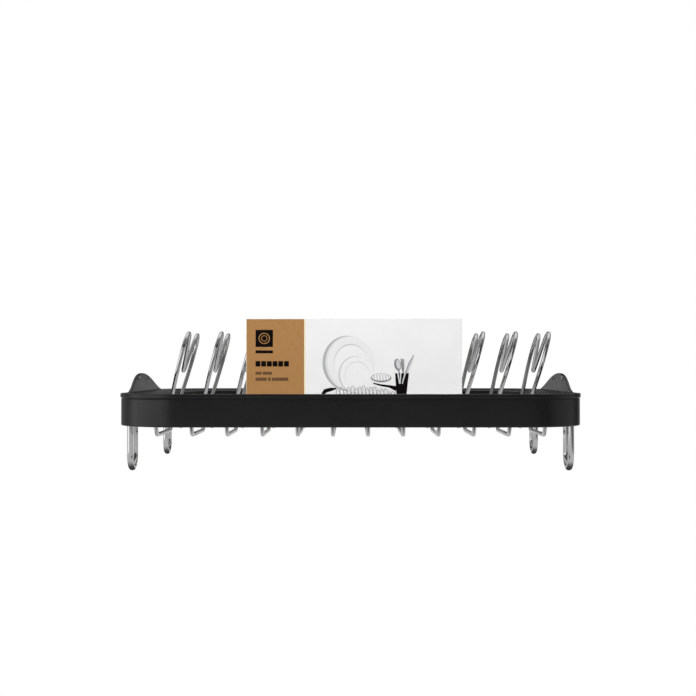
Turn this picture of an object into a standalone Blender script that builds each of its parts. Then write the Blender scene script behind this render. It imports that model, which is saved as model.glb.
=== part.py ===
# Compact dish drying rack: a moulded black ring with raised handle ears carries a welded
# basket of plate-fin wires, stands on four wire loops and holds a fold-over display card.
# Metres, +Z up, the loops' lowest points on z = 0, -Y is the front, +X is the way the fins lean.
import math

import bmesh
import bpy
from mathutils import Vector

for thing in list(bpy.data.objects):
    bpy.data.objects.remove(thing, do_unlink=True)

MM = 0.001
GAP = 0.3  # clearance left between pieces that touch or are welded

# Moulded ring
WALL_X = 178.85  # half width at the outer wall
WALL_Y = 137.85  # half depth at the outer wall
CORNER_R = 49.15
RING_Z0 = 35.3
RING_Z1 = 60.2
LIP = 0.65  # bead standing out at the top of the wall
LIP_FACE = 2.9  # height of the bead's face
LIP_FOOT = 4.2  # depth at which its underside meets the wall
LIP_CUT = 0.2  # rounding of its edges
EDGE_CUT = 0.9  # rounding of the wall's bottom edge
EDGE_MID = 0.25  # the middle of that rounding, in from both faces
WALL_T = 2.2
CHANNEL_R = 0.8  # rounding of the channel's upper corner
CHANNEL_TOP = 2.6  # depth of the channel's roof below the rim
RIM_W = 21.05  # rim width, outer wall to inner skirt
RIM_DROP = 1.9  # fall of the rim towards the inside, long sides
RIM_DROP_END = 3.0  # the same at the short ends
SKIRT_Z = 52.0
SKIRT_T = 2.0
SKIRT_CUT = 0.5  # rounding of the skirt's bottom edge
RIM_CUT = 0.7  # rounding where the rim turns down into the skirt
EAR_HALF = 88.0
EAR_H = 15.1
EAR_FLAT = 2.38  # exponents of the ear's outline
EAR_POWER = 2.04
EAR_FOOT = 3.15  # inset of the ear's outer face where it rises from the rim
EAR_LEAN = 3.8  # outward travel of the ear over its full height
EAR_T = 2.0
EAR_CUT = 0.7  # rounding of the ear's upper edge
EAR_BLEND = 1.2  # height of the hollow where the ear meets the rim
EAR_BLEND_W = 1.8  # its width
APART = 0.1  # least spacing of the section's corners where the ear fades out
EAR_SEGS = 24
CORNER_SEGS = 8

# Plate fins
FINS = 12
PITCH = 27.14
FIN_D = 3.3
FLOOR_Z = 28.2
LEG_Y = 28.3
END_Y = 103.3
BEND_R = 6.0
KNEE_R = 14.0
KNEE_Z = 51.0
FLANK_Y = 19.3  # centre of the long outward curve above the knee, on the far side
FLANK_Z = 95.0
FLANK_R = 60.0
LOBE_Y = 28.7
LOBE_Z = 96.45
LOBE_R = 12.0
VALLEY_Z = 77.3
VALLEY_R = 4.5
LEAN = 0.27  # sideways travel per height above the lean line
LEAN_Z = 52.5
LEAN_SOFT = 3.0

# Rim wire, tie wires, feet
RIM_D = 5.0
RIM_X = 164.4
RIM_Y = 122.2
RIM_Z = 52.0
RIM_R = 18.0
TIE_D = 3.3
TIE_Z = 34.6
TIE_BEND_X = 146.0
FOOT_D = 5.0
FOOT_X = 169.7
FOOT_Y = 94.0
FOOT_R = 10.5
FOOT_TOP = 54.0

# Display card
CARD_X0 = -85.1
CARD_X1 = 91.0
CARD_Y = 47.0  # inner faces of the two hanging panels
CARD_T = 0.8
CARD_Z0 = 31.8
CARD_SHELF = 110.4
CARD_Z1 = 119.8


def material(name, colour, roughness, metallic):
    mat = bpy.data.materials.new(name)
    mat.use_nodes = True
    shader = mat.node_tree.nodes["Principled BSDF"]
    shader.inputs["Base Color"].default_value = (*colour, 1.0)
    shader.inputs["Roughness"].default_value = roughness
    shader.inputs["Metallic"].default_value = metallic
    mat.diffuse_color = (*colour, 1.0)
    return mat


PLASTIC = ((0.022, 0.022, 0.023), 0.42, 0.0)
NICKEL = ((0.62, 0.61, 0.59), 0.22, 1.0)
BOARD = ((0.62, 0.44, 0.25), 0.8, 0.0)


def closed_mesh(name, verts, faces, look):
    mesh = bpy.data.meshes.new(name)
    mesh.from_pydata([tuple(c * MM for c in v) for v in verts], [], faces)
    bm = bmesh.new()
    bm.from_mesh(mesh)
    bmesh.ops.recalc_face_normals(bm, faces=bm.faces)
    bm.to_mesh(mesh)
    bm.free()
    mesh.materials.append(material(name, *look))
    return mesh


def place(name, mesh, x=0.0, y=0.0, z=0.0):
    obj = bpy.data.objects.new(name, mesh)
    obj.location = (x * MM, y * MM, z * MM)
    bpy.context.scene.collection.objects.link(obj)


def tube(name, path, diameter, look, sides=8, closed=False, up=(1.0, 0.0, 0.0)):
    """Wire along a path; the flats of its section lie on the nominal diameter."""
    pts = [Vector(p) for p in path]
    n = len(pts)
    radius = diameter / 2 / math.cos(math.pi / sides)
    tangents = []
    for i in range(n):
        a = pts[i - 1] if closed or i > 0 else pts[0]
        b = pts[(i + 1) % n] if closed or i < n - 1 else pts[-1]
        before = (pts[i] - a).normalized() if (pts[i] - a).length > 0 else None
        after = (b - pts[i]).normalized() if (b - pts[i]).length > 0 else None
        tangents.append(((before or after) + (after or before)).normalized())
    normal = Vector(up)
    normal = (normal - tangents[0] * normal.dot(tangents[0])).normalized()
    verts = []
    for i in range(n):
        normal = (normal - tangents[i] * normal.dot(tangents[i])).normalized()
        side = tangents[i].cross(normal)
        if 0 < i < n - 1 or closed:
            half = tangents[i].dot((pts[(i + 1) % n] - pts[i]).normalized())
            bend = ((pts[(i + 1) % n] - pts[i]).normalized() - (pts[i] - pts[i - 1]).normalized())
            bend = bend.normalized() if bend.length > 1e-6 else Vector((0, 0, 0))
            stretch = 1.0 / max(half, 0.5)
        else:
            bend, stretch = Vector((0, 0, 0)), 1.0
        for k in range(sides):
            a = 2 * math.pi * (k + 0.5) / sides
            v = normal * math.cos(a) * radius + side * math.sin(a) * radius
            v += bend * v.dot(bend) * (stretch - 1.0)
            verts.append(pts[i] + v)
    faces = []
    for i in range(n if closed else n - 1):
        j = (i + 1) % n
        for k in range(sides):
            m = (k + 1) % sides
            faces.append((i * sides + k, i * sides + m, j * sides + m, j * sides + k))
    if not closed:
        faces.append(tuple(range(sides)))
        faces.append(tuple((n - 1) * sides + k for k in range(sides)))
    return closed_mesh(name, verts, faces, look)


def belt(circles):
    """Points of a path that runs tangent round (u, v, radius, turn, segments) circles in turn."""
    out = []
    legs = []
    for a, b in zip(circles, circles[1:]):
        du, dv = b[0] - a[0], b[1] - a[1]
        dist = math.hypot(du, dv)
        # signed radii: positive when the path turns left
        ra, rb = a[2] * a[3], b[2] * b[3]
        legs.append(math.atan2(dv, du) - math.asin((rb - ra) / dist))
    for i, c in enumerate(circles):
        u, v, r, turn, segs = c
        if r == 0:
            out.append((u, v))
            continue
        h0, h1 = legs[i - 1], legs[i]
        sweep = (h1 - h0 + math.pi) % (2 * math.pi) - math.pi
        if turn > 0 and sweep < 0:
            sweep += 2 * math.pi
        if turn < 0 and sweep > 0:
            sweep -= 2 * math.pi
        for s in range(segs + 1):
            h = h0 + sweep * s / segs
            out.append((u + turn * r * math.sin(h), v - turn * r * math.cos(h)))
    return out


def lean(z):
    t = z - LEAN_Z
    return LEAN * 0.5 * (t + math.hypot(t, LEAN_SOFT)) - LEAN * 0.5 * (
        (FLOOR_Z - LEAN_Z) + math.hypot(FLOOR_Z - LEAN_Z, LEAN_SOFT)
    )


def fin_profile():
    aim = Vector((-(RIM_Y - END_Y), RIM_Z - FLOOR_Z)).normalized()
    reach = RIM_D / 2 + GAP + 0.2
    end = (-RIM_Y - aim.x * reach, RIM_Z - aim.y * reach)
    turn = math.pi / 2 - math.atan2(-aim.x, aim.y)
    bend_u = -END_Y + BEND_R * math.tan(turn / 2)
    half = belt(
        [
            (end[0], end[1], 0, 0, 0),
            (bend_u, FLOOR_Z + BEND_R, BEND_R, 1, 3),
            (-LEG_Y - BEND_R, FLOOR_Z + BEND_R, BEND_R, 1, 5),
            (-LEG_Y - KNEE_R, KNEE_Z, KNEE_R, 1, 3),
            (FLANK_Y, FLANK_Z, FLANK_R, -1, 4),
            (-LOBE_Y, LOBE_Z, LOBE_R, -1, 10),
            (0.0, VALLEY_Z + VALLEY_R, VALLEY_R, 1, 6),
            (LOBE_Y, LOBE_Z, LOBE_R, -1, 10),
            (-FLANK_Y, FLANK_Z, FLANK_R, -1, 4),
            (LEG_Y + KNEE_R, KNEE_Z, KNEE_R, 1, 3),
            (LEG_Y + BEND_R, FLOOR_Z + BEND_R, BEND_R, 1, 5),
            (-bend_u, FLOOR_Z + BEND_R, BEND_R, 1, 3),
            (-end[0], end[1], 0, 0, 0),
        ]
    )
    out = [half[0]]
    for (u0, v0), (u1, v1) in zip(half, half[1:]):
        # extra rings on the upright stretches, where the wire starts to lean
        for z in sorted((44.5, 47.8, 50.6), reverse=v1 < v0):
            if abs(u1 - u0) < 0.5 and min(v0, v1) + 1.0 < z < max(v0, v1) - 1.0:
                out.append((u0 + (u1 - u0) * (z - v0) / (v1 - v0), z))
        out.append((u1, v1))
    return out


def ear(y):
    t = 1.0 - (abs(y) / EAR_HALF) ** EAR_FLAT
    return EAR_H * t**EAR_POWER if t > 0 else 0.0


def ring_stations():
    """(x, y, outward nx, ny, ear height, share of the end drop) round the outer wall."""
    cx, cy = WALL_X - CORNER_R, WALL_Y - CORNER_R
    out = []

    def corner(sx, sy, a0):
        for i in range(CORNER_SEGS + 1):
            a = a0 + (math.pi / 2) * i / CORNER_SEGS
            nx, ny = math.cos(a), math.sin(a)
            share = nx * nx
            out.append((sx * cx + CORNER_R * nx, sy * cy + CORNER_R * ny, nx, ny, 0.0, share))

    def end(sx):
        for i in range(1, EAR_SEGS):
            y = sx * (-cy + 2 * cy * i / EAR_SEGS)
            out.append((sx * WALL_X, y, sx, 0.0, ear(y), 1.0))

    def side(sy):
        out.append((0.0, sy * WALL_Y, 0.0, sy, 0.0, 0.0))

    corner(1, -1, -math.pi / 2)
    end(1)
    corner(1, 1, 0.0)
    side(1)
    corner(-1, 1, math.pi / 2)
    end(-1)
    corner(-1, -1, math.pi)
    side(-1)
    return out


def ring_section(e, share):
    """(inset from the outer wall, height) round the moulding's section."""
    top = RING_Z1 + e
    cut = min(EAR_CUT, e / 3)
    blend = min(EAR_BLEND, e / 4)
    outer = EAR_FOOT - EAR_LEAN * e / EAR_H
    inner = outer + EAR_T
    foot = EAR_FOOT + EAR_T
    edge = RING_Z1 - RIM_DROP - (RIM_DROP_END - RIM_DROP) * share
    skirt = RIM_W - SKIRT_T
    roof = RING_Z1 - CHANNEL_TOP
    return [
        (EDGE_CUT, RING_Z0),
        (EDGE_MID, RING_Z0 + EDGE_MID),
        (0.0, RING_Z0 + EDGE_CUT),
        (0.0, RING_Z1 - LIP_FOOT),
        (LIP_CUT - LIP, RING_Z1 - LIP_FACE - LIP_CUT),
        (-LIP, RING_Z1 - LIP_FACE),
        (-LIP, RING_Z1 - 3 * LIP_CUT),
        (LIP_CUT - LIP, RING_Z1 - LIP_CUT),
        (3 * LIP_CUT - LIP, RING_Z1),
        (EAR_FOOT - 2 * APART, RING_Z1),
        (outer, top - cut),
        (outer + APART + cut, top),
        (inner - APART - cut, top),
        (inner, top - cut),
        (foot + 2 * APART - 0.3 * blend, RING_Z1 - APART / 2 + blend),
        (foot + EAR_BLEND_W, RING_Z1 - 3 * APART + 0.25 * blend),
        (skirt, edge),
        (RIM_W - RIM_CUT, edge - 0.65 * RIM_CUT),
        (RIM_W, edge - 2 * RIM_CUT),
        (RIM_W, SKIRT_Z + SKIRT_CUT),
        (RIM_W - SKIRT_CUT, SKIRT_Z),
        (skirt + SKIRT_CUT, SKIRT_Z),
        (skirt, SKIRT_Z + SKIRT_CUT),
        (skirt, edge - CHANNEL_TOP),
        (WALL_T + CHANNEL_R, roof),
        (WALL_T, roof - CHANNEL_R),
        (WALL_T, RING_Z0 + SKIRT_CUT),
        (WALL_T - SKIRT_CUT, RING_Z0),
    ]


def build_ring():
    stations = ring_stations()
    verts = []
    for x, y, nx, ny, e, share in stations:
        for inset, z in ring_section(e, share):
            verts.append((x - nx * inset, y - ny * inset, z))
    n = len(ring_section(0.0, 0.0))
    m = len(stations)
    faces = []
    for i in range(m):
        j = (i + 1) % m
        for k in range(n):
            h = (k + 1) % n
            faces.append((i * n + k, j * n + k, j * n + h, i * n + h))
    place("frame_ring", closed_mesh("ring", verts, faces, PLASTIC))


def build_rim_wire():
    cx, cy = RIM_X - RIM_R, RIM_Y - RIM_R
    path = []
    for sx, sy, a0 in ((1, -1, -90), (1, 1, 0), (-1, 1, 90), (-1, -1, 180)):
        for i in range(7):
            a = math.radians(a0 + 15 * i)
            path.append((sx * cx + RIM_R * math.cos(a), sy * cy + RIM_R * math.sin(a), 0.0))
    wire = tube("rim", path, RIM_D, NICKEL, sides=10, closed=True, up=(0.0, 0.0, 1.0))
    place("rim_wire", wire, z=RIM_Z)


def build_fins():
    wire = tube("fin", [(lean(z), y, z) for y, z in fin_profile()], FIN_D, NICKEL)
    for k in range(FINS):
        place(f"plate_fin_{k + 1:02d}", wire, x=(k - (FINS - 1) / 2) * PITCH)


def build_ties():
    y = LEG_Y - FIN_D / 2 / math.cos(math.pi / 8) - TIE_D / 2 / math.cos(math.pi / 8) - GAP
    aim = Vector((RIM_X - TIE_BEND_X, RIM_Z - TIE_Z)).normalized()
    reach = RIM_D / 2 + GAP + 0.2
    end = (RIM_X - aim.x * reach, RIM_Z - aim.y * reach)
    turn = math.atan2(aim.y, aim.x)
    bend = TIE_BEND_X - BEND_R * math.tan(turn / 2)
    line = belt(
        [
            (-end[0], end[1], 0, 0, 0),
            (-bend, TIE_Z + BEND_R, BEND_R, 1, 4),
            (bend, TIE_Z + BEND_R, BEND_R, 1, 4),
            (end[0], end[1], 0, 0, 0),
        ]
    )
    wire = tube("tie", [(x, 0.0, z) for x, z in line], TIE_D, NICKEL, up=(0.0, 1.0, 0.0))
    place("tie_wire_front", wire, y=-y)
    place("tie_wire_rear", wire, y=y)


def build_feet():
    low = FOOT_R + FOOT_D / 2
    loop = [(-FOOT_R, FOOT_TOP)]
    for i in range(12):
        # an odd number of chords, so the middle one lies flat on the floor
        a = math.pi * i / 11
        r = FOOT_R / math.cos(math.pi / 22) if 0 < i < 11 else FOOT_R
        loop.append((-r * math.cos(a), low - r * math.sin(a)))
    loop.append((FOOT_R, FOOT_TOP))
    wire = tube("foot", [(0.0, u, v) for u, v in loop], FOOT_D, NICKEL, sides=12)
    for row, y in (("front", -FOOT_Y), ("rear", FOOT_Y)):
        place(f"foot_{row}_left", wire, x=-FOOT_X, y=y)
        place(f"foot_{row}_right", wire, x=FOOT_X, y=y)


def build_card():
    y, t = CARD_Y, CARD_T
    outline = [
        (-y - t, CARD_Z0),
        (-y - t, CARD_Z1),
        (-y + t, CARD_Z1),
        (-y + t, CARD_SHELF + t),
        (y + t, CARD_SHELF + t),
        (y + t, CARD_Z0),
        (y, CARD_Z0),
        (y, CARD_SHELF),
        (-y, CARD_SHELF),
        (-y, CARD_Z0),
    ]
    n = len(outline)
    half = (CARD_X1 - CARD_X0) / 2
    verts = [(x, v, z - CARD_SHELF) for x in (-half, half) for v, z in outline]
    faces = [(k, (k + 1) % n, n + (k + 1) % n, n + k) for k in range(n)]
    faces.append(tuple(range(n)))
    faces.append(tuple(n + k for k in range(n)))
    # lifts straight up along the vertical through its shelf's middle
    place("display_card", closed_mesh("card", verts, faces, BOARD), x=CARD_X0 + half, z=CARD_SHELF)


build_ring()
build_rim_wire()
build_fins()
build_ties()
build_feet()
build_card()
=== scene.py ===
import math

import bmesh
import bpy
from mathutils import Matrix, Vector


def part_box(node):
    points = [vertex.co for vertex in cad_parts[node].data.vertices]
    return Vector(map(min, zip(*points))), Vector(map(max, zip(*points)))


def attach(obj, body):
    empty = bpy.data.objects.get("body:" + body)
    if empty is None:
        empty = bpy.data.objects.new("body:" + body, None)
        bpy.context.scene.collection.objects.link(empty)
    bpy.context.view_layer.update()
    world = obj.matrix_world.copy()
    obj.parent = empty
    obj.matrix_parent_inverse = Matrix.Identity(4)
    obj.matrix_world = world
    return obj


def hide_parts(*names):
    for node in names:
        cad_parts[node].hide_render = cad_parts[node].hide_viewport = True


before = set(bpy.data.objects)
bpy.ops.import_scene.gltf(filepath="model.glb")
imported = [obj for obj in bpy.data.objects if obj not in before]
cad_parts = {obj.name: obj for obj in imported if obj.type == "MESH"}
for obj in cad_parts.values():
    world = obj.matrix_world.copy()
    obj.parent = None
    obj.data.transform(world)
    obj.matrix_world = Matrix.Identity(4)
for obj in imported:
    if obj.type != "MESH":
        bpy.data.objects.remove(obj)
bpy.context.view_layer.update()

# Sizes are in millimetres and angles in degrees, unless a comment says otherwise
MM = 0.001
RACK = "rack"
CARD = "card"
SHARP_EDGE = 40  # faces that meet at more than this are shaded with a hard edge
WELD_GAP = 0.35  # clearance between a wire's end and the wire it is welded to

# Moulded ring
RING_LOW, RING_HIGH = (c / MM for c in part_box("frame_ring"))
LIP = 0.65  # how far the bead at the top of the wall stands out
LIP_FACE = 3.1  # height of the bead's face
GROOVE = 0.3  # depth of the groove below the bead
GROOVE_TOP = 3.5  # where it starts and ends, below the rim
GROOVE_END = 4.5
WALL_X = RING_HIGH.x - LIP
WALL_Y = RING_HIGH.y - LIP
RING_Z0 = RING_LOW.z
EAR_H = 15.1
RING_Z1 = RING_HIGH.z - EAR_H
CORNER_R = 49.15
WALL_T = 2.2
CHANNEL_DROP = 2.6  # thickness over the channel below the rim
RIM_W = 21.05
RIM_DROP = 1.9  # fall of the rim towards the inside, long sides
RIM_DROP_END = 3.0  # the same at the short ends
RIM_CROWN = 12.15  # inset of the line where the rim starts to fall
SKIRT_T = 1.9
SKIRT_Z = 52.0
EAR_HALF = 88.0
EAR_FLAT = 2.38  # exponents of the ear's outline
EAR_POWER = 2.04
EAR_FOOT = 3.15  # inset of the ear's outer face where it rises from the rim
EAR_LEAN = 3.8  # outward travel of the ear over its full height
EAR_T = 2.0
EAR_FADE = 4.0  # ear height at which its roundings have their full size
PIP_Y = 25.5
PIP_Z = 71.0
PIP_SIZE = (1.1, 1.0, 1.7)

# Plate fins
FIN_NODES = sorted(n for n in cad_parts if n.startswith("plate_fin_"))
FIN_D = 3.3
PITCH = 27.14
FLOOR_Z = 28.2
LEG_Y = 28.3
END_Y = 103.3
BEND_R = 6.0
KNEE_R = 14.0
KNEE_Z = 51.0
FLANK_Y = 19.3  # centre of the long outward curve above the knee, on the far side
FLANK_Z = 95.0
FLANK_R = 60.0
LOBE_Y = 28.7
LOBE_Z = 96.45
LOBE_R = 12.0
VALLEY_Z = 77.3
VALLEY_R = 4.5
LEAN = 0.27  # sideways travel per height above LEAN_Z
LEAN_Z = 52.5
LEAN_SOFT = 3.0

# Rim wire, tie wires, feet
RIM_D = 5.0
RIM_X = 164.4
RIM_Y = 122.2
RIM_Z = 52.0
RIM_R = 18.0
TIE_D = 3.3
TIE_Z = 34.6
TIE_Y = 24.43
TIE_BEND_X = 146.0
FOOT_D = 5.0
FOOT_X = 169.7
FOOT_Y = 94.0
FOOT_R = 10.5
FOOT_TOP = 54.0

# Display card
CARD_LOW, CARD_HIGH = (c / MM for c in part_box("display_card"))
CARD_T = 0.8
CARD_SHELF = 110.4
KRAFT_SHARE = 0.2685  # of the card's width, from the left
TRIM = 0.25  # board left bare round a printed panel
STRIP_W = 1.2  # cream strip between the two colours
MARK_W = 14.2
MARK_H = 14.0

# Stage, in metres, and strengths where white is 1
SWEEP_RADIUS = 9.0
SWEEP_HEIGHT = 9.0
SWEEP_Z = -0.0004
TABLE_Z = -0.0005
TABLE_LIT = 0.62
TABLE_SHADE = 0.06
LIGHTS_AIM = (0.0, 0.0, 0.06)

# Camera: distance in front of the rack's middle and height over the floor, in metres
CAMERA_BACK = 1.080
CAMERA_HEIGHT = 0.0799
FOCAL_LENGTH = 65.43
AIM_LEFT = 0.113
AIM_UP = 0.892


# ---------------------------------------------------------------- materials


class Nodes:
    """A material's node tree, with short ways to add and join nodes."""

    def __init__(self, name):
        self.mat = bpy.data.materials.new(name)
        self.mat.use_nodes = True
        self.tree = self.mat.node_tree
        self.shader = self.tree.nodes["Principled BSDF"]
        self.coords = self.tree.nodes.new("ShaderNodeTexCoord").outputs["Object"]

    def add(self, kind, **values):
        node = self.tree.nodes.new(kind)
        for key, value in values.items():
            if key in node.inputs:
                node.inputs[key].default_value = value
            else:
                setattr(node, key, value)
        return node

    def link(self, out, into):
        self.tree.links.new(out, into)
        return into

    def noise(self, scale, detail=3.0, rough=0.5, stretch=(1.0, 1.0, 1.0)):
        mapping = self.add("ShaderNodeMapping", Scale=stretch)
        self.link(self.coords, mapping.inputs["Vector"])
        node = self.add("ShaderNodeTexNoise", Scale=scale, Detail=detail, Roughness=rough)
        self.link(mapping.outputs["Vector"], node.inputs["Vector"])
        return node.outputs["Fac"]

    def ramp(self, fac, low, high, a, b):
        """a below low, b above high, smooth between; a and b are numbers or colours."""
        node = self.add("ShaderNodeValToRGB")
        first, last = node.color_ramp.elements
        first.position, last.position = low, high
        first.color = (a, a, a, 1) if isinstance(a, (int, float)) else (*a, 1)
        last.color = (b, b, b, 1) if isinstance(b, (int, float)) else (*b, 1)
        self.link(fac, node.inputs["Fac"])
        return node.outputs["Color"]

    def mix(self, fac, a, b, blend="MIX"):
        node = self.add("ShaderNodeMix", data_type="RGBA", blend_type=blend)
        if isinstance(fac, (int, float)):
            node.inputs[0].default_value = fac
        else:
            self.link(fac, node.inputs[0])
        self.link(a, node.inputs[6])
        self.link(b, node.inputs[7])
        return node.outputs[2]

    def bump(self, height, strength, distance, under=None):
        node = self.add("ShaderNodeBump", Strength=strength, Distance=distance)
        self.link(height, node.inputs["Height"])
        if under is not None:
            self.link(under, node.inputs["Normal"])
        return node.outputs["Normal"]


def black_moulding():
    """Satin black polypropylene with a fine spark-eroded grain."""
    n = Nodes("black_moulding")
    tone = n.noise(38.0, 4.0)
    n.link(n.ramp(tone, 0.3, 0.7, (0.0045, 0.0045, 0.0047), (0.0065, 0.0065, 0.0068)),
           n.shader.inputs["Base Color"])
    n.link(n.ramp(n.noise(160.0, 5.0), 0.3, 0.7, 0.27, 0.33), n.shader.inputs["Roughness"])
    n.shader.inputs["Specular IOR Level"].default_value = 0.38
    grain = n.bump(n.noise(2600.0, 2.0), 0.25, 0.00004)
    n.link(n.bump(n.noise(520.0, 3.0), 0.12, 0.00008, grain), n.shader.inputs["Normal"])
    return n.mat


def painted_highlight_moulding():
    """The same plastic, painted pale on the ears' pips as a painted highlight."""
    n = Nodes("painted_highlight_moulding")
    n.link(n.ramp(n.noise(900.0, 3.0), 0.3, 0.7, (0.21, 0.21, 0.21), (0.29, 0.29, 0.29)),
           n.shader.inputs["Base Color"])
    n.shader.inputs["Roughness"].default_value = 0.5
    n.link(n.bump(n.noise(1800.0, 2.0), 0.3, 0.00004), n.shader.inputs["Normal"])
    return n.mat


def bright_nickel():
    """Plated drawn wire: a bright skin with slow changes of tone and the faintest ripple."""
    n = Nodes("bright_nickel")
    n.link(n.ramp(n.noise(60.0, 3.0), 0.25, 0.75, (0.61, 0.61, 0.61), (0.69, 0.69, 0.69)),
           n.shader.inputs["Base Color"])
    n.shader.inputs["Metallic"].default_value = 1.0
    n.link(n.ramp(n.noise(90.0, 3.0), 0.3, 0.7, 0.06, 0.11), n.shader.inputs["Roughness"])
    n.link(n.bump(n.noise(120.0, 1.0), 0.03, 0.00005), n.shader.inputs["Normal"])
    return n.mat


def weld_nickel():
    """The plating over the fused beads, which is duller and rougher."""
    n = Nodes("weld_nickel")
    n.link(n.ramp(n.noise(500.0, 4.0), 0.3, 0.7, (0.44, 0.44, 0.44), (0.60, 0.60, 0.60)),
           n.shader.inputs["Base Color"])
    n.shader.inputs["Metallic"].default_value = 1.0
    n.link(n.ramp(n.noise(600.0, 3.0), 0.3, 0.7, 0.22, 0.34), n.shader.inputs["Roughness"])
    n.link(n.bump(n.noise(900.0, 3.0), 0.25, 0.0001), n.shader.inputs["Normal"])
    return n.mat


KRAFT_DARK = (0.375, 0.194, 0.068)
KRAFT_LIGHT = (0.422, 0.220, 0.080)
KRAFT_FLECK = (0.62, 0.58, 0.52)


def kraft_board():
    """Brown board: long soft fibres and a few darker flecks."""
    n = Nodes("kraft_board")
    long_noise = n.noise(900.0, 5.0, 0.6, (1.0, 1.0, 0.16))
    fibres = n.ramp(long_noise, 0.34, 0.66, KRAFT_DARK, KRAFT_LIGHT)
    fleck_noise = n.noise(1500.0, 2.0, 0.5, (0.5, 1.0, 1.0))
    flecks = n.ramp(fleck_noise, 0.28, 0.36, KRAFT_FLECK, (1, 1, 1))
    flecked = n.mix(1.0, fibres, flecks, "MULTIPLY")
    n.link(n.mix(0.35, fibres, flecked), n.shader.inputs["Base Color"])
    n.shader.inputs["Roughness"].default_value = 0.82
    n.shader.inputs["Specular IOR Level"].default_value = 0.25
    n.link(n.bump(n.noise(1300.0, 4.0), 0.3, 0.00006), n.shader.inputs["Normal"])
    return n.mat


def raw_board():
    """The sleeve's own board: off-white, short grey fibres, a soft tooth."""
    n = Nodes("raw_board")
    fibres = n.noise(700.0, 5.0, 0.6, (0.3, 1.0, 1.0))
    n.link(n.ramp(fibres, 0.32, 0.68, (0.735, 0.728, 0.70), (0.775, 0.77, 0.745)),
           n.shader.inputs["Base Color"])
    n.shader.inputs["Roughness"].default_value = 0.75
    n.shader.inputs["Specular IOR Level"].default_value = 0.3
    n.link(n.bump(n.noise(1100.0, 4.0), 0.25, 0.00006), n.shader.inputs["Normal"])
    return n.mat


def coated_white():
    """White coated panel: barely warm, with the faintest mottle of the board below."""
    n = Nodes("coated_white")
    n.link(n.ramp(n.noise(55.0, 3.0), 0.3, 0.7, (0.845, 0.845, 0.845), (0.875, 0.875, 0.872)),
           n.shader.inputs["Base Color"])
    n.shader.inputs["Roughness"].default_value = 0.5
    n.link(n.bump(n.noise(800.0, 3.0), 0.08, 0.00004), n.shader.inputs["Normal"])
    return n.mat


def ink(name, colour):
    """Printed ink, a little broken up by the board's tooth."""
    n = Nodes("ink_" + name)
    pale = tuple(min(1.0, c * 1.12 + 0.001) for c in colour)
    n.link(n.ramp(n.noise(2200.0, 2.0), 0.35, 0.75, colour, pale), n.shader.inputs["Base Color"])
    n.shader.inputs["Roughness"].default_value = 0.55
    n.shader.inputs["Specular IOR Level"].default_value = 0.08
    return n.mat


# ---------------------------------------------------------------- mesh tools


def make_object(name, verts, faces, mat, smooth=True):
    mesh = bpy.data.meshes.new(name)
    mesh.from_pydata([tuple(c * MM for c in v) for v in verts], [], faces)
    bm = bmesh.new()
    bm.from_mesh(mesh)
    bmesh.ops.recalc_face_normals(bm, faces=bm.faces)
    bm.to_mesh(mesh)
    bm.free()
    if smooth:
        mesh.shade_smooth()
        mesh.set_sharp_from_angle(angle=math.radians(SHARP_EDGE))
    mesh.materials.append(mat)
    return place(name, mesh)


def place(name, data):
    obj = bpy.data.objects.new(name, data)
    bpy.context.scene.collection.objects.link(obj)
    return obj


def stand_for(obj, body, slot, *nodes):
    """Makes a piece ride on its body, in place of the CAD nodes given. The slot argument is not
    used.
    """
    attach(obj, body)
    if nodes:
        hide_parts(*nodes)


def loft_faces(rows, cols, closed):
    """Quads between rings of cols points; closed joins the last ring to the first."""
    faces = []
    for i in range(rows if closed else rows - 1):
        j = (i + 1) % rows
        for k in range(cols):
            h = (k + 1) % cols
            faces.append((i * cols + k, i * cols + h, j * cols + h, j * cols + k))
    return faces


def rounded(here, before, after, reach, steps):
    """Points of the curve that cuts a corner, leaving its two sides at reach from it."""
    a = here + before.normalized() * reach
    b = here + after.normalized() * reach
    out = []
    for s in range(steps + 1):
        t = s / steps
        out.append(a.lerp(here, t).lerp(here.lerp(b, t), t))
    return out


def tube(name, path, diameter, mat, sides=20, closed=False, up=(1.0, 0.0, 0.0)):
    """Round wire along a path, its open ends domed."""
    pts = [Vector(p) for p in path]
    n = len(pts)
    tangents = []
    for i in range(n):
        a = pts[i - 1] if closed or i > 0 else pts[0]
        b = pts[(i + 1) % n] if closed or i < n - 1 else pts[-1]
        tangents.append((b - a).normalized())
    normal = Vector(up)
    rings = []
    for i in range(n):
        normal = (normal - tangents[i] * normal.dot(tangents[i])).normalized()
        rings.append((pts[i], tangents[i], normal.copy(), diameter / 2))
    if not closed:
        dome = [(math.sin(a), math.cos(a)) for a in (math.radians(d) for d in (88, 70, 50, 28))]
        head, tail = rings[0], rings[-1]
        reach = diameter / 2 * 0.35
        start = [
            (head[0] + head[1] * reach * (1 - s), head[1], head[2], head[3] * c) for s, c in dome
        ]
        end = [
            (tail[0] - tail[1] * reach * (1 - s), tail[1], tail[2], tail[3] * c)
            for s, c in reversed(dome)
        ]
        rings = start + rings[1:-1] + end
    verts = []
    for centre, tangent, normal, r in rings:
        side = tangent.cross(normal)
        for k in range(sides):
            a = 2 * math.pi * k / sides
            verts.append(centre + normal * math.cos(a) * r + side * math.sin(a) * r)
    m = len(rings)
    faces = loft_faces(m, sides, closed)
    if not closed:
        faces.append(tuple(range(sides)))
        faces.append(tuple((m - 1) * sides + k for k in range(sides)))
    return make_object(name, verts, faces, mat)


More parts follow.
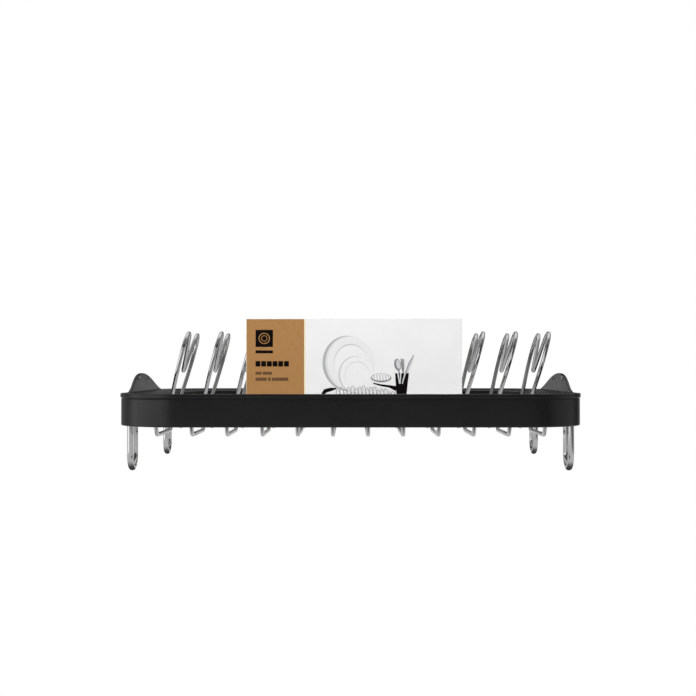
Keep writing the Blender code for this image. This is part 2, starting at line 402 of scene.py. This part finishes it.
def belt(circles):
    """Points of a path that runs tangent round (u, v, radius, turn, segments) circles in turn."""
    headings = []
    for a, b in zip(circles, circles[1:]):
        du, dv = b[0] - a[0], b[1] - a[1]
        swing = (b[2] * b[3] - a[2] * a[3]) / math.hypot(du, dv)
        headings.append(math.atan2(dv, du) - math.asin(swing))
    out = []
    for i, (u, v, r, turn, segs) in enumerate(circles):
        if r == 0:
            out.append((u, v))
            continue
        h0, h1 = headings[i - 1], headings[i]
        sweep = (h1 - h0 + math.pi) % (2 * math.pi) - math.pi
        if turn > 0 and sweep < 0:
            sweep += 2 * math.pi
        if turn < 0 and sweep > 0:
            sweep -= 2 * math.pi
        for s in range(segs + 1):
            h = h0 + sweep * s / segs
            out.append((u + turn * r * math.sin(h), v - turn * r * math.cos(h)))
    return out


def resample(path, step):
    """The same polyline with points no further apart than step."""
    out = [path[0]]
    for a, b in zip(path, path[1:]):
        count = max(1, math.ceil(math.dist(a, b) / step))
        for s in range(1, count + 1):
            out.append(tuple(p + (q - p) * s / count for p, q in zip(a, b)))
    return out


def blob(verts, faces, centre, size):
    """Adds an ellipsoid's verts and faces to the lists."""
    rings, sides = 6, 12
    base = len(verts)
    cx, cy, cz = centre
    sx, sy, sz = size
    verts.append((cx, cy, cz - sz))
    for i in range(1, rings):
        p = math.pi * i / rings - math.pi / 2
        for k in range(sides):
            a = 2 * math.pi * k / sides
            verts.append((cx + sx * math.cos(p) * math.cos(a), cy + sy * math.cos(p) * math.sin(a),
                          cz + sz * math.sin(p)))
    verts.append((cx, cy, cz + sz))
    top = len(verts) - 1
    for k in range(sides):
        h = (k + 1) % sides
        faces.append((base, base + 1 + h, base + 1 + k))
        last = base + 1 + (rings - 2) * sides
        faces.append((last + k, last + h, top))
        for i in range(rings - 2):
            r = base + 1 + i * sides
            faces.append((r + k, r + h, r + sides + h, r + sides + k))


# ---------------------------------------------------------------- moulded ring


def ear(y):
    t = 1.0 - (abs(y) / EAR_HALF) ** EAR_FLAT
    return EAR_H * t**EAR_POWER if t > 0 else 0.0


def ring_stations():
    """(x, y, outward nx, ny, ear height, share of the end drop) round the outer wall."""
    cx, cy = WALL_X - CORNER_R, WALL_Y - CORNER_R
    out = []
    corner_segs, ear_segs, side_segs = 28, 96, 12
    for sx, sy, a0 in ((1, -1, -90), (1, 1, 0), (-1, 1, 90), (-1, -1, 180)):
        for i in range(corner_segs + 1):
            a = math.radians(a0 + 90 * i / corner_segs)
            nx, ny = math.cos(a), math.sin(a)
            out.append((sx * cx + CORNER_R * nx, sy * cy + CORNER_R * ny, nx, ny, 0.0, nx * nx))
        if sx == -sy:
            for i in range(1, ear_segs):
                y = sx * (-cy + 2 * cy * i / ear_segs)
                out.append((sx * WALL_X, y, sx, 0.0, ear(y), 1.0))
        else:
            for i in range(1, side_segs):
                x = sy * (cx - 2 * cx * i / side_segs)
                out.append((x, sy * WALL_Y, 0.0, sy, 0.0, 0.0))
    return out


def fillet(points):
    """Rounds each (inset, height, radius, steps) corner of a closed outline.

    Two more points on each flat, near its ends, keep it flat when it is shaded smooth."""
    n = len(points)
    arcs = []
    for i, (u, v, r, steps) in enumerate(points):
        here = Vector((u, v))
        before = Vector(points[i - 1][:2]) - here
        after = Vector(points[(i + 1) % n][:2]) - here
        reach = min(r, before.length * 0.45, after.length * 0.45)
        arcs.append(rounded(here, before, after, reach, steps))
    out = []
    for i, arc in enumerate(arcs):
        out += arc
        start, stop = arc[-1], arcs[(i + 1) % n][0]
        hold = min(0.4, (stop - start).length * 0.25)
        step = (stop - start).normalized() * hold
        out += [start + step, stop - step]
    return [(p.x, p.y) for p in out]


def ring_section(e, share):
    """(inset from the outer wall, height) round the moulding's section."""
    top = RING_Z1 + e
    grown = min(1.0, e / EAR_FADE)
    outer = EAR_FOOT - EAR_LEAN * e / EAR_H
    edge = RING_Z1 - RIM_DROP - (RIM_DROP_END - RIM_DROP) * share
    crown = RING_Z1 - 0.25 - 0.35 * (RING_Z1 - edge) * (1.0 - share)
    return fillet(
        [
            # wall and bead
            (0.0, RING_Z0, 1.1, 4),
            (0.0, RING_Z1 - GROOVE_END, 0.3, 3),
            (GROOVE, RING_Z1 - GROOVE_TOP, 0.15, 2),
            (-LIP, RING_Z1 - LIP_FACE, 0.35, 3),
            (-LIP, RING_Z1, 0.7, 5),
            # ear
            (EAR_FOOT - 0.15, RING_Z1, 0.1 + 0.5 * grown, 3),
            (outer, top, 0.1 + 0.8 * grown, 4),
            (outer + EAR_T, top, 0.1 + 0.8 * grown, 4),
            (EAR_FOOT + EAR_T + 0.2, RING_Z1 - 0.1, 0.3 + 0.5 * grown, 4),
            # rim and skirt
            (RIM_CROWN, crown, 3.0, 5),
            (RIM_W, edge, 1.4, 5),
            (RIM_W, SKIRT_Z, 0.6, 3),
            (RIM_W - SKIRT_T, SKIRT_Z, 0.6, 3),
            # channel
            (RIM_W - SKIRT_T, edge - CHANNEL_DROP, 0.8, 2),
            (WALL_T, RING_Z1 - CHANNEL_DROP, 1.0, 2),
            (WALL_T, RING_Z0, 0.7, 3),
        ]
    )


def build_ring(mat):
    stations = ring_stations()
    verts = []
    for x, y, nx, ny, e, share in stations:
        section = ring_section(e, share)
        for inset, z in section:
            verts.append((x - nx * inset, y - ny * inset, z))
    faces = loft_faces(len(stations), len(section), closed=True)
    ring = make_object("ring_moulding", verts, faces, mat)
    stand_for(ring, RACK, "ring", "frame_ring")


def build_ear_pips(mat):
    """Two small pips on each ear's inner face, half sunk in it."""
    verts, faces = [], []
    height = ear(PIP_Y)
    inner_foot = EAR_FOOT + EAR_T + 0.2
    inner_top = EAR_FOOT - EAR_LEAN * height / EAR_H + EAR_T
    inset = inner_foot + (inner_top - inner_foot) * (PIP_Z - RING_Z1) / height
    for sx in (-1, 1):
        for sy in (-1, 1):
            blob(verts, faces, (sx * (WALL_X - inset), sy * PIP_Y, PIP_Z), PIP_SIZE)
    stand_for(make_object("ear_pips", verts, faces, mat), RACK, "ring")


# ---------------------------------------------------------------- wires


def lean(z):
    """Sideways shift of a fin at height z: none at the floor run, straight above LEAN_Z."""

    def rise(t):
        return LEAN * 0.5 * (t + math.hypot(t, LEAN_SOFT))

    return rise(z - LEAN_Z) - rise(FLOOR_Z - LEAN_Z)


def fin_path():
    """Centre line of a fin: rim wire, floor run, leg, two lobes with a valley, and back."""
    aim = Vector((-(RIM_Y - END_Y), RIM_Z - FLOOR_Z)).normalized()
    reach = RIM_D / 2 + WELD_GAP
    end_u, end_v = -RIM_Y - aim.x * reach, RIM_Z - aim.y * reach
    turn = math.pi / 2 - math.atan2(-aim.x, aim.y)
    bend_u = -END_Y + BEND_R * math.tan(turn / 2)
    left = [
        (end_u, end_v, 0, 0, 0),
        (bend_u, FLOOR_Z + BEND_R, BEND_R, 1, 8),
        (-LEG_Y - BEND_R, FLOOR_Z + BEND_R, BEND_R, 1, 14),
        (-LEG_Y - KNEE_R, KNEE_Z, KNEE_R, 1, 10),
        (FLANK_Y, FLANK_Z, FLANK_R, -1, 14),
        (-LOBE_Y, LOBE_Z, LOBE_R, -1, 34),
    ]
    right = [(-u, v, r, turn, segs) for u, v, r, turn, segs in reversed(left)]
    middle = [(0.0, VALLEY_Z + VALLEY_R, VALLEY_R, 1, 20)]
    profile = resample(belt(left + middle + right), 4.0)
    return [(lean(v), u, v) for u, v in profile]


def fin_x(k):
    return (k - (len(FIN_NODES) - 1) / 2) * PITCH


def build_fins(mat):
    first = tube("fin_wire_01", fin_path(), FIN_D, mat, sides=18)
    for k, node in enumerate(FIN_NODES):
        obj = first if k == 0 else place(f"fin_wire_{k + 1:02d}", first.data)
        obj.location.x = fin_x(k) * MM
        stand_for(obj, RACK, "wire", node)


def build_rim_wire(mat):
    cx, cy = RIM_X - RIM_R, RIM_Y - RIM_R
    path = []
    for sx, sy, a0 in ((1, -1, -90), (1, 1, 0), (-1, 1, 90), (-1, -1, 180)):
        for i in range(17):
            a = math.radians(a0 + 90 * i / 16)
            path.append((sx * cx + RIM_R * math.cos(a), sy * cy + RIM_R * math.sin(a), RIM_Z))
    wire = tube("rim_rod", path, RIM_D, mat, closed=True, up=(0.0, 0.0, 1.0))
    stand_for(wire, RACK, "wire", "rim_wire")


def build_ties(mat):
    aim = Vector((RIM_X - TIE_BEND_X, RIM_Z - TIE_Z)).normalized()
    reach = RIM_D / 2 + WELD_GAP
    end = (RIM_X - aim.x * reach, RIM_Z - aim.y * reach)
    bend = TIE_BEND_X - BEND_R * math.tan(math.atan2(aim.y, aim.x) / 2)
    line = belt(
        [
            (-end[0], end[1], 0, 0, 0),
            (-bend, TIE_Z + BEND_R, BEND_R, 1, 10),
            (bend, TIE_Z + BEND_R, BEND_R, 1, 10),
            (end[0], end[1], 0, 0, 0),
        ]
    )
    for row, side in (("front", -1), ("rear", 1)):
        path = [(x, side * TIE_Y, z) for x, z in resample(line, 12.0)]
        wire = tube(f"tie_rod_{row}", path, TIE_D, mat, sides=18, up=(0.0, 1.0, 0.0))
        stand_for(wire, RACK, "wire", f"tie_wire_{row}")


def build_feet(mat):
    low = FOOT_R + FOOT_D / 2
    loop = [(-FOOT_R, FOOT_TOP)]
    for i in range(33):
        a = math.pi * i / 32
        loop.append((-FOOT_R * math.cos(a), low - FOOT_R * math.sin(a)))
    loop.append((FOOT_R, FOOT_TOP))
    path = [(0.0, u, v) for u, v in resample(loop, 4.0)]
    first = tube("foot_loop_front_left", path, FOOT_D, mat, sides=24)
    for row, sy in (("front", -1), ("rear", 1)):
        for col, sx in (("left", -1), ("right", 1)):
            name = f"foot_loop_{row}_{col}"
            obj = first if name == first.name else place(name, first.data)
            obj.location = (sx * FOOT_X * MM, sy * FOOT_Y * MM, 0)
            stand_for(obj, RACK, "wire", f"foot_{row}_{col}")


def build_welds(mat):
    """Small fused beads where the wires meet."""
    verts, faces = [], []
    # fin to tie wire, and fin to rim wire
    for k in range(len(FIN_NODES)):
        x = fin_x(k)
        for side in (-1, 1):
            blob(verts, faces, (x, side * (TIE_Y + LEG_Y) / 2, TIE_Z), (1.3, 0.9, 1.3))
            blob(verts, faces, (x, side * (RIM_Y - 1.5), RIM_Z - 2.4), (1.5, 1.1, 1.1))
    # tie wire to rim wire, and foot to rim wire
    for sx in (-1, 1):
        for sy in (-1, 1):
            blob(verts, faces, (sx * (RIM_X - 1.8), sy * TIE_Y, RIM_Z - 1.9), (1.1, 1.5, 1.1))
            for u in (-FOOT_R, FOOT_R):
                y = sy * FOOT_Y + u
                blob(verts, faces, (sx * (RIM_X + FOOT_X) / 2, y, RIM_Z), (1.0, 1.6, 1.6))
    stand_for(make_object("weld_beads", verts, faces, mat), RACK, "wire")


# ---------------------------------------------------------------- display card


def build_card(mat):
    """One folded sheet: front panel, doubled header, shelf over the fins, rear panel."""
    half = CARD_T / 2 - 0.01
    front, rear = CARD_LOW.y + CARD_T / 2, CARD_HIGH.y - CARD_T / 2
    bottom, top = CARD_LOW.z, CARD_HIGH.z - CARD_T / 2
    shelf = CARD_SHELF + CARD_T / 2
    line = fillet_line(
        [
            (front, bottom, 0),
            (front, top, 0.4),
            (front + CARD_T, top, 0.4),
            (front + CARD_T, shelf, 0.9),
            (rear, shelf, 1.2),
            (rear, bottom, 0),
        ]
    )
    left, right = [], []
    for i, p in enumerate(line):
        a = line[max(0, i - 1)]
        b = line[min(len(line) - 1, i + 1)]
        t = (b - a).normalized()
        side = Vector((-t.y, t.x)) * half
        left.append(p + side)
        right.append(p - side)
    outline = left + right[::-1]
    n = len(outline)
    # a station close to each cut edge keeps the faces flat when they are shaded smooth
    xs = [CARD_LOW.x, CARD_LOW.x + 0.15, CARD_HIGH.x - 0.15, CARD_HIGH.x]
    verts = [(x, v.x, v.y) for x in xs for v in outline]
    faces = loft_faces(len(xs), n, closed=False)
    count = len(line)
    for s in (0, len(xs) - 1):
        for k in range(count - 1):
            a, b = s * n + k, s * n + k + 1
            faces.append((a, b, s * n + n - 2 - k, s * n + n - 1 - k))
    stand_for(make_object("card_sleeve", verts, faces, mat), CARD, "card", "display_card")


def fillet_line(points):
    """An open line with each inner (u, v, radius) corner rounded."""
    out = []
    for i, (u, v, r) in enumerate(points):
        here = Vector((u, v))
        if i == 0 or i == len(points) - 1:
            out.append(here)
            continue
        before = Vector(points[i - 1][:2]) - here
        after = Vector(points[i + 1][:2]) - here
        reach = min(r, before.length * 0.49, after.length * 0.49)
        out += rounded(here, before, after, reach, 6)
    return out


class Print:
    """Ink layers on one face of the card: closed films a few thousandths of a millimetre apart.

    Points are given as (across, up) on the face; spot() says where such a point lies in space,
    at a height over the card's surface."""

    def __init__(self, name, spot):
        self.name = name
        self.spot = spot
        self.count = 0
        self.films = {}

    def shape(self, outline, ink_name):
        """One closed film; each later one stands a little higher than those before it."""
        self.count += 1
        verts, faces = self.films.setdefault(ink_name, ([], []))
        base, n = len(verts), len(outline)
        for height in (0.004, 0.02 + 0.005 * self.count):
            verts += [self.spot(u, v, height) for u, v in outline]
        faces.append(tuple(base + k for k in range(n)))
        faces.append(tuple(base + n + k for k in range(n)))
        for k in range(n):
            h = (k + 1) % n
            faces.append((base + k, base + h, base + n + h, base + n + k))

    def rect(self, u0, u1, v0, v1, ink_name):
        self.shape([(u0, v0), (u1, v0), (u1, v1), (u0, v1)], ink_name)

    def bars(self, u, v0, v1, spans, ink_name):
        """A row of blocks between v0 and v1, each from and to a distance right of u."""
        for a, b in spans:
            self.rect(u + a, u + b, v0, v1, ink_name)

    def ellipse(self, centre, radii, ink_name, tilt=0.0):
        steps = 48
        c, d = math.cos(math.radians(tilt)), math.sin(math.radians(tilt))
        pts = []
        for i in range(steps):
            a = 2 * math.pi * i / steps
            u, v = radii[0] * math.cos(a), radii[1] * math.sin(a)
            pts.append((centre[0] + u * c - v * d, centre[1] + u * d + v * c))
        self.shape(pts, ink_name)

    def stroke(self, points, widths, ink_name):
        """A line through the points, with one width or a width at each of them."""
        if isinstance(widths, (int, float)):
            widths = [widths] * len(points)
        left, right = [], []
        for i, (x, z) in enumerate(points):
            a = Vector(points[max(0, i - 1)])
            b = Vector(points[min(len(points) - 1, i + 1)])
            t = (b - a).normalized() * widths[i] / 2
            left.append((x - t.y, z + t.x))
            right.append((x + t.y, z - t.x))
        self.shape(left + right[::-1], ink_name)

    def done(self, inks):
        """Makes the films of each ink one object."""
        for ink_name, (verts, faces) in self.films.items():
            name = f"{self.name}_{ink_name}"
            obj = make_object(name, verts, faces, inks[ink_name], smooth=False)
            stand_for(obj, CARD, "card")


def print_inks():
    return {
        "kraft_panel": kraft_board(),
        "white_panel": coated_white(),
        "cream": ink("cream", (0.80, 0.74, 0.52)),
        "black": ink("black", (0.003, 0.002, 0.002)),
        "brown": ink("brown", (0.13, 0.070, 0.030)),
        "kraft": ink("kraft", (0.38, 0.196, 0.069)),
        "edge_grey": ink("edge_grey", (0.42, 0.42, 0.43)),
        "rim_grey": ink("rim_grey", (0.70, 0.70, 0.705)),
        "well_grey": ink("well_grey", (0.58, 0.58, 0.59)),
        "plate_grey": ink("plate_grey", (0.775, 0.775, 0.78)),
        "china": ink("china", (0.81, 0.81, 0.81)),
        "line_grey": ink("line_grey", (0.22, 0.22, 0.23)),
        "steel": ink("steel", (0.60, 0.60, 0.61)),
    }


def print_mark(p, u, v):
    """Square mark with a plate on it, and a plain block below it."""
    p.rect(u, u + MARK_W, v, v + MARK_H, "black")
    for radius, colour in ((4.6, "kraft"), (3.9, "black"), (2.5, "kraft"), (2.0, "black")):
        p.ellipse((u + MARK_W / 2, v + MARK_H / 2), (radius, radius), colour)
    p.rect(u, u + MARK_W, v - 5.2, v - 2.8, "black")


def build_print():
    """Brown title panel with plain ink blocks in place of wording, white panel with a picture."""
    inks = print_inks()
    x0, x1 = CARD_LOW.x, CARD_HIGH.x
    joint = x0 + KRAFT_SHARE * (x1 - x0)
    front_y, rear_y = CARD_LOW.y, CARD_HIGH.y
    low, high = CARD_LOW.z + TRIM, CARD_HIGH.z - TRIM

    def two_colours(face, v0, v1):
        face.rect(x0 + TRIM, joint, v0, v1, "kraft_panel")
        face.rect(joint + STRIP_W, x1 - TRIM, v0, v1, "white_panel")
        face.rect(joint, joint + STRIP_W, v0, v1, "cream")

    front = Print("front_print", lambda u, v, h: (u, front_y - h, v))
    two_colours(front, low, high)
    u = x0 + 7.6
    print_mark(front, u, 96.8)
    title = [(4.65 * i, 4.65 * i + 3.95) for i in range(6)]
    front.bars(u, 80.9, 85.3, title, "black")
    front.bars(u, 74.2, 76.6, ((0, 5.0), (5.8, 13.4)), "brown")
    front.bars(u, 69.2, 71.8, ((0, 9.2), (10.2, 12.4), (13.4, 26.8)), "brown")
    build_picture(front)
    front.done(inks)

    # the shelf carries the two colours on, between the header and the rear fold
    top = Print("shelf_print", lambda u, v, h: (u, v, CARD_SHELF + CARD_T + h))
    two_colours(top, front_y + 2 * CARD_T + 1.2, rear_y - 1.6)
    top.done(inks)

    # rear panel: the same two colours, plain blocks, and three plates over rows of plain lines
    rear = Print("rear_print", lambda u, v, h: (-u, rear_y + h, v))
    fold = CARD_SHELF - 1.6
    rear.rect(-x1 + TRIM, -joint - STRIP_W, low, fold, "white_panel")
    rear.rect(-joint, -x0 - TRIM, low, fold, "kraft_panel")
    rear.rect(-joint - STRIP_W, -joint, low, fold, "cream")
    u = -joint + 6.0
    print_mark(rear, u, 88.0)
    rear.bars(u, 70.8, 75.2, title, "black")
    for i in range(3):
        spans = ((0, 8.0 + 2 * i), (9.0 + 2 * i, 26.0 - 3 * i))
        rear.bars(u, 62.0 - 4.2 * i, 64.0 - 4.2 * i, spans, "brown")
    plate = ((12.0, "edge_grey"), (11.4, "china"), (7.4, "edge_grey"), (7.0, "china"))
    for i in range(3):
        middle = -x1 + 22.0 + 38.0 * i
        for radius, colour in plate:
            rear.ellipse((middle, 88.0), (radius, radius), colour)
        left = middle - 12
        for row in range(4):
            length = 24.0 - 4.0 * ((row + i) % 3)
            drop = 3.6 * row
            rear.rect(left, left + length, 66.0 - drop, 67.4 - drop, "line_grey")
    rear.done(inks)


def build_picture(p):
    """Plates, a bowl and a cup of cutlery standing in a rack."""
    # dinner plate, then the side plate in front of it
    p.ellipse((-2.2, 83.4), (20.6, 22.6), "edge_grey", tilt=8)
    p.ellipse((-0.5, 83.4), (19.9, 22.3), "rim_grey", tilt=8)
    p.ellipse((0.6, 83.7), (19.3, 21.6), "plate_grey", tilt=8)
    p.ellipse((0.6, 83.6), (13.9, 15.8), "well_grey", tilt=8)
    p.ellipse((0.9, 82.7), (13.9, 15.6), "china", tilt=8)
    p.ellipse((4.4, 74.2), (14.2, 15.2), "well_grey", tilt=6)
    p.ellipse((5.2, 74.2), (13.7, 14.8), "china", tilt=6)
    p.ellipse((5.6, 74.0), (10.3, 11.4), "rim_grey", tilt=6)
    p.ellipse((5.8, 73.3), (10.0, 10.8), "china", tilt=6)
    # faceted bowl
    p.ellipse((25.0, 71.6), (8.4, 3.6), "line_grey")
    p.ellipse((25.0, 72.1), (7.6, 2.8), "china")
    for i in range(6):
        a = 18.6 + 2.4 * i
        p.stroke([(a, 69.4), (a + 1.2, 74.2)], 0.4, "steel")
        p.stroke([(a + 1.2, 69.4), (a, 74.2)], 0.3, "line_grey")
    # wires of the pictured rack
    for i in range(17):
        a = -12.0 + 3.0 * i
        top = 64.6 - 0.12 * abs(i - 6) * abs(i - 6) ** 0.6 + 1.2 * math.sin(i * 2.1)
        up = [(a, 57.0), (a + 0.6, top - 1.0), (a + 1.5, top)]
        down = [(a + 2.6, top - 1.4), (a + 4.4, 57.0)]
        p.stroke(up + down, 0.42, "line_grey")
    for i in range(4):
        left, middle = (-6.0 + 3 * i, 59.4 + 1.1 * i), (12.0 + 2 * i, 60.6 + 1.2 * i)
        p.stroke([left, middle, (33.0, 58.4 + 1.0 * i)], 0.3, "steel")
    # its rim and ear, and its cutlery cup
    rim = [(18.6, 67.2), (25.0, 65.6), (32.0, 64.6), (37.4, 62.8)]
    p.stroke(rim, (0.9, 1.5, 2.0, 4.2), "black")
    handle = [(-22.8, 58.0), (-20.6, 61.0), (-16.2, 62.2), (-11.4, 63.0)]
    p.stroke(handle, (2.6, 3.2, 2.8, 1.0), "black")
    p.shape([(37.6, 57.0), (45.4, 57.0), (47.6, 75.4), (36.4, 75.4)], "black")
    for a, b in ((38.6, 40.0), (41.0, 40.4), (44.6, 42.2)):
        p.stroke([(a, 75.6), (b, 66.8)], (1.2, 0.8), "steel")
    p.ellipse((38.4, 82.4), (2.7, 4.8), "line_grey", tilt=10)
    p.ellipse((39.0, 82.6), (1.7, 3.8), "steel", tilt=10)
    p.stroke([(39.2, 78.0), (39.8, 75.2)], 1.0, "line_grey")
    for i in range(3):
        tine = [(41.2 + i * 1.1, 87.6 - i * 0.4), (42.0 + i * 0.7, 79.6), (42.8, 75.4)]
        p.stroke(tine, 0.55, "line_grey")
    p.stroke([(45.2, 75.4), (48.4, 83.4), (51.6, 90.4)], (1.8, 2.1, 0.5), "line_grey")
    p.stroke([(45.6, 75.6), (48.7, 83.2), (51.2, 89.4)], (1.0, 1.2, 0.3), "steel")


# ---------------------------------------------------------------- stage


class Sums:
    """Short ways to do sums in a node tree."""

    def __init__(self, tree):
        self.tree = tree

    def math(self, operation, a, b=None):
        node = self.tree.nodes.new("ShaderNodeMath")
        node.operation = operation
        for socket, value in zip(node.inputs, (a, b)):
            if isinstance(value, (int, float)):
                socket.default_value = value
            elif value is not None:
                self.tree.links.new(value, socket)
        return node.outputs[0]

    def fade(self, value, low, high, at_low=0.0, at_high=1.0):
        """at_low below low, at_high above high, smooth between."""
        node = self.tree.nodes.new("ShaderNodeMapRange")
        node.interpolation_type = "SMOOTHSTEP"
        node.inputs["From Min"].default_value = low
        node.inputs["From Max"].default_value = high
        node.inputs["To Min"].default_value = at_low
        node.inputs["To Max"].default_value = at_high
        self.tree.links.new(value, node.inputs["Value"])
        return node.outputs["Result"]


def glow(name):
    """White that shines by itself, so it looks the same however the lights stand."""
    mat = bpy.data.materials.new(name)
    mat.use_nodes = True
    tree = mat.node_tree
    tree.nodes.clear()
    out = tree.nodes.new("ShaderNodeOutputMaterial")
    shader = tree.nodes.new("ShaderNodeEmission")
    shader.inputs["Color"].default_value = (1.0, 1.0, 1.0, 1.0)
    shader.inputs["Strength"].default_value = 1.0
    tree.links.new(shader.outputs[0], out.inputs[0])
    return mat


def table_glow():
    """White table top with painted shadows: darker below the ring's long sides and round each
    foot.
    """
    mat = glow("table_glow")
    tree = mat.node_tree
    sums = Sums(tree)
    coords = tree.nodes.new("ShaderNodeTexCoord")
    split = tree.nodes.new("ShaderNodeSeparateXYZ")
    tree.links.new(coords.outputs["Object"], split.inputs[0])
    across = sums.math("ABSOLUTE", split.outputs["X"])
    along = sums.math("ABSOLUTE", split.outputs["Y"])
    # distances here are in metres
    # painted shadow of the ring below its long sides
    from_side = sums.math("SUBTRACT", along, (WALL_Y - RIM_W / 2) * MM)
    off_side = sums.fade(sums.math("ABSOLUTE", from_side), 0.008, 0.026)
    lit = sums.math("MAXIMUM", off_side, sums.fade(across, 0.135, 0.158))
    squares = []
    # painted contact shadow round each foot
    for value, middle in ((across, FOOT_X), (along, FOOT_Y)):
        part = sums.math("SUBTRACT", value, middle * MM)
        squares.append(sums.math("MULTIPLY", part, part))
    from_foot = sums.math("SQRT", sums.math("ADD", *squares))
    lit = sums.math("MINIMUM", lit, sums.fade(from_foot, 0.006, 0.020))
    level = tree.nodes.new("ShaderNodeMapRange")
    level.inputs["To Min"].default_value = TABLE_SHADE
    level.inputs["To Max"].default_value = TABLE_LIT
    tree.links.new(lit, level.inputs["Value"])
    tree.links.new(level.outputs["Result"], tree.nodes["Emission"].inputs["Strength"])
    return mat


def stage_object(name, verts, faces, mat):
    mesh = bpy.data.meshes.new(name)
    mesh.from_pydata(verts, [], faces)
    mesh.materials.append(mat)
    return place(name, mesh)


def build_stage():
    """A white sweep that the camera sees, and a table top that the metal and moulding mirror."""
    steps = 64
    turns = [2 * math.pi * i / steps for i in range(steps)]
    ring = [(SWEEP_RADIUS * math.cos(a), SWEEP_RADIUS * math.sin(a)) for a in turns]
    verts = [(x, y, 0.0) for x, y in ring] + [(x, y, SWEEP_HEIGHT) for x, y in ring]
    faces = [tuple(range(steps))]
    for i in range(steps):
        j = (i + 1) % steps
        faces.append((i, j, steps + j, steps + i))
    floor = stage_object("floor", verts, faces, glow("sweep_white"))
    floor.location.z = SWEEP_Z
    floor.visible_glossy = False
    floor.visible_diffuse = False
    floor.visible_shadow = False

    corners = [(-0.31, -0.85), (0.33, -0.85), (0.33, 0.85), (-0.31, 0.85)]
    verts = [(x, y, TABLE_Z) for x, y in corners]
    table = stage_object("table_top", verts, [(0, 1, 2, 3)], table_glow())
    table.visible_camera = False
    table.visible_shadow = False


class Sky(Sums):
    """World light from soft-edged patches, each given by azimuth and elevation.

    Azimuth 0 is the front (-Y), 90 the right (+X), 180 the back."""

    def __init__(self):
        world = bpy.data.worlds.new("studio")
        bpy.context.scene.world = world
        world.use_nodes = True
        super().__init__(world.node_tree)
        coords = self.tree.nodes.new("ShaderNodeTexCoord")
        split = self.tree.nodes.new("ShaderNodeSeparateXYZ")
        self.tree.links.new(coords.outputs["Generated"], split.inputs[0])
        forward = self.math("MULTIPLY", split.outputs["Y"], -1.0)
        self.azimuth = self.math("ARCTAN2", split.outputs["X"], forward)
        self.elevation = self.math("ARCSINE", split.outputs["Z"])
        self.total = None

    def edge(self, distance, half, soft):
        """1 well inside half, 0 well outside it."""
        low, high = math.radians(half - soft), math.radians(half + soft)
        return self.fade(distance, low, high, 1.0, 0.0)

    def patch(self, strength, az, half_az, el, half_el, soft_az, soft_el):
        """A patch centred on (az, el), strength at its middle, fading over its soft edges."""
        turned = self.math("SUBTRACT", self.azimuth, math.radians(az))
        wrapped = self.math("WRAP", turned, math.pi)
        wrapped.node.inputs[2].default_value = -math.pi
        across = self.math("ABSOLUTE", wrapped)
        up = self.math("ABSOLUTE", self.math("SUBTRACT", self.elevation, math.radians(el)))
        a = self.edge(across, half_az, soft_az)
        b = self.edge(up, half_el, soft_el)
        value = self.math("MULTIPLY", self.math("MULTIPLY", a, b), strength)
        self.total = value if self.total is None else self.math("ADD", self.total, value)

    def done(self, base):
        """Sends the patches, over a faint even base, to the world's background."""
        colour = self.tree.nodes["Background"].inputs["Color"]
        self.tree.links.new(self.math("ADD", self.total, base), colour)


def build_world():
    """A dark studio with large softboxes, so the wires read as metal."""
    sky = Sky()
    # big softbox on the left, a dimmer one on the right and one behind on the left
    sky.patch(1.25, -64, 40, -2, 15, 6, 6)
    sky.patch(0.40, 90, 30, -2, 15, 10, 6)
    sky.patch(0.24, -138, 36, 1, 10, 12, 6)
    # ceiling in front, overhead and behind
    sky.patch(0.17, 0, 100, 40, 24, 14, 12)
    sky.patch(0.85, 0, 181, 90, 24, 1, 10)
    sky.patch(0.70, 180, 100, 50, 22, 30, 8)
    # low glow behind
    sky.patch(0.46, 169, 23, 0, 6, 12, 4)
    sky.done(0.02)


def softbox(name, position, size, watts):
    """An area light for matt surfaces; the sky is what the bright ones mirror."""
    data = bpy.data.lights.new(name, "AREA")
    data.shape = "RECTANGLE"
    data.size, data.size_y = size
    data.energy = watts
    light = place(name, data)
    light.location = position
    aim = Vector(LIGHTS_AIM) - Vector(position)
    light.rotation_euler = aim.to_track_quat("-Z", "Y").to_euler()
    light.visible_camera = False
    light.visible_glossy = False


def build_lights():
    softbox("key_light", (-1.0, -1.9, 0.9), (1.6, 1.2), 37.2)
    softbox("fill_light", (1.2, -1.6, 0.7), (1.2, 1.0), 8.0)
    softbox("back_light", (0.6, 2.0, 1.0), (1.6, 1.2), 30.0)


def build_camera():
    data = bpy.data.cameras.new("camera")
    data.lens = FOCAL_LENGTH
    data.sensor_width = 36.0
    data.clip_start = 0.01
    data.clip_end = 100.0
    camera = place("camera", data)
    camera.location = (0.0, -CAMERA_BACK, CAMERA_HEIGHT)
    camera.rotation_euler = (math.radians(90 + AIM_UP), 0.0, math.radians(AIM_LEFT))
    bpy.context.scene.camera = camera


nickel = bright_nickel()
build_ring(black_moulding())
# the ears' pips are painted pale as a painted highlight
build_ear_pips(painted_highlight_moulding())
build_fins(nickel)
build_rim_wire(nickel)
build_ties(nickel)
build_feet(nickel)
build_welds(weld_nickel())
build_card(raw_board())
build_print()
build_stage()
build_world()
build_lights()
build_camera()
bpy.context.scene.view_settings.view_transform = "Standard"
